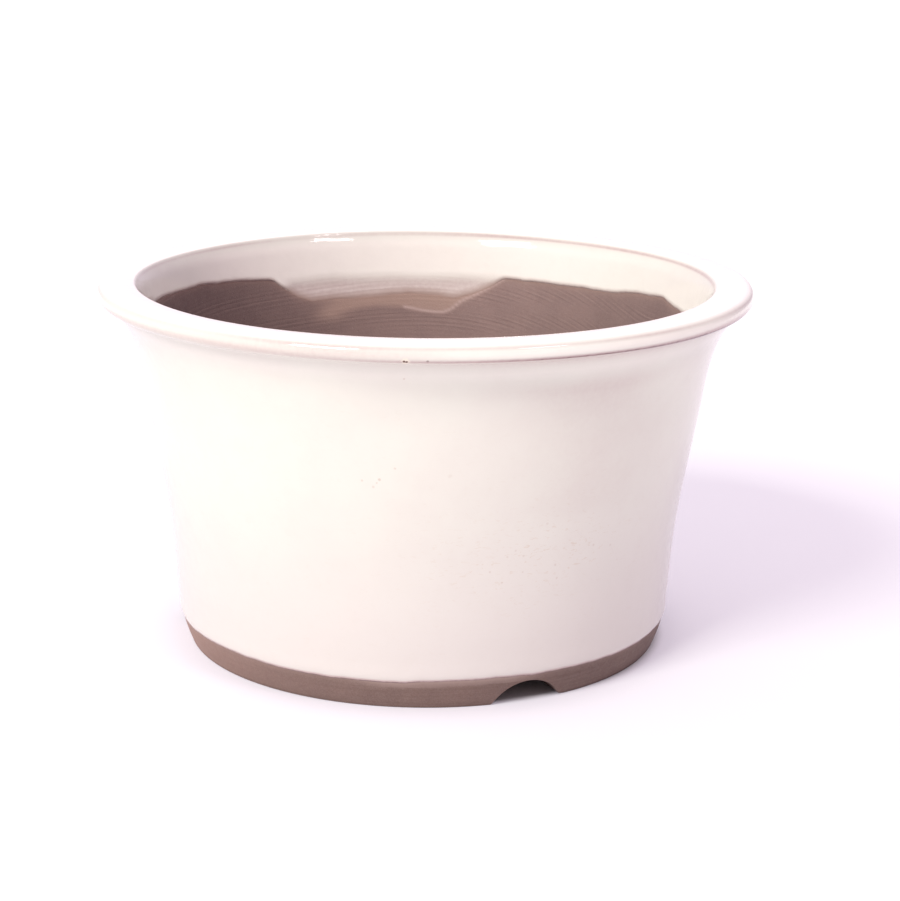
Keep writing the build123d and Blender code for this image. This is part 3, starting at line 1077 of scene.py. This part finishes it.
# ---- table, light and camera ----
def direction(from_front, elevation):
    """Unit vector away from the pot, by degrees from its front and degrees above the table."""
    a, e = math.radians(from_front), math.radians(elevation)
    return Vector((math.sin(a) * math.cos(e), -math.cos(a) * math.cos(e), math.sin(e)))


TABLE_HALF = 6.0
corners = [(x * TABLE_HALF, y * TABLE_HALF, 0) for x, y in ((-1, -1), (1, -1), (1, 1), (-1, 1))]
table_mesh = bpy.data.meshes.new("table")
table_mesh.from_pydata(corners, [], [(0, 1, 2, 3)])
table_mesh.materials.append(table_material())
table = new_object("table", table_mesh)

AIM = Vector((0, 0, 0.05))  # the lights point at the middle of the pot


def soft_box(name, from_front, elevation, distance, width, height, watts, colour):
    """Rectangular soft box aimed at the pot. Angles in degrees, lengths in metres."""
    light = bpy.data.lights.new(name, "AREA")
    light.shape = "RECTANGLE"
    light.size, light.size_y = width, height
    light.energy = watts
    light.color = colour
    lamp = new_object(name, light)
    lamp.location = direction(from_front, elevation) * distance
    lamp.rotation_euler = (AIM - lamp.location).to_track_quat("-Z", "Y").to_euler()


soft_box("key", -40, 39.5, 9.0, 3.0, 2.3, 577, (1.0, 1.0, 0.94))
soft_box("fill", 50, 47, 9.0, 2.2, 0.9, 108, (1.0, 0.85, 0.88))

# A white studio: a dim base, with broad glows (from the front, elevation, tightness, colour).
STUDIO_BASE = (0.33, 0.29, 0.34, 1)
STUDIO_GLOWS = [
    (-75, 25, 2.5, (0.57, 0.57, 0.52, 1)),
    (180, 30, 2.5, (0.72, 0.64, 0.72, 1)),
    (0, 90, 2.5, (0.28, 0.20, 0.28, 1)),
]


def studio_world():
    """World whose light varies softly with direction."""
    world = bpy.data.worlds.new("studio")
    n = Nodes(world)
    background = n.add("ShaderNodeBackground")
    n.link(background.outputs[0], n.add("ShaderNodeOutputWorld").inputs["Surface"])
    view = n.add("ShaderNodeTexCoord").outputs["Generated"]
    total = STUDIO_BASE
    for from_front, elevation, tightness, colour in STUDIO_GLOWS:
        towards = n.add("ShaderNodeVectorMath", operation="DOT_PRODUCT")
        n.link(view, towards.inputs[0])
        towards.inputs[1].default_value = direction(from_front, elevation)
        falloff = n.add("ShaderNodeMath", operation="MULTIPLY_ADD")
        n.link(towards.outputs["Value"], falloff.inputs[0])
        falloff.inputs[1].default_value = tightness
        falloff.inputs[2].default_value = -tightness
        glow = n.add("ShaderNodeMath", operation="EXPONENT")
        n.link(falloff.outputs[0], glow.inputs[0])
        mix = n.add("ShaderNodeMix", data_type="RGBA", blend_type="ADD", clamp_factor=False)
        n.link(glow.outputs[0], mix.inputs[0])
        n.feed(mix.inputs[6], total)
        mix.inputs[7].default_value = colour
        total = mix.outputs[2]
    n.link(total, background.inputs["Color"])
    return world


scene.world = studio_world()

# The camera stands a good half metre in front of the pot, slightly above it.
CAMERA_AT = Vector((0.0, -526.8, 184.3)) * MM
CAMERA_DOWN, CAMERA_RIGHT, CAMERA_ROLL = 14.866, 0.676, 0.631
camera_data = bpy.data.cameras.new("camera")
camera_data.lens = 89.69
camera_data.sensor_width = 36.0
camera_data.clip_start = 0.02
camera = new_object("camera", camera_data)
down, right, roll = (math.radians(v) for v in (CAMERA_DOWN, CAMERA_RIGHT, CAMERA_ROLL))
forward = Vector((math.sin(right) * math.cos(down), math.cos(right) * math.cos(down), -math.sin(down)))
side = Vector((math.cos(right), -math.sin(right), 0))
upward = side.cross(forward)
tilted_side = side * math.cos(roll) + upward * math.sin(roll)
tilted_up = upward * math.cos(roll) - side * math.sin(roll)
camera.matrix_world = Matrix((
    (tilted_side.x, tilted_up.x, -forward.x, CAMERA_AT.x),
    (tilted_side.y, tilted_up.y, -forward.y, CAMERA_AT.y),
    (tilted_side.z, tilted_up.z, -forward.z, CAMERA_AT.z),
    (0, 0, 0, 1),
))
scene.camera = camera
scene.view_settings.view_transform = "Standard"
scene.view_settings.look = "None"
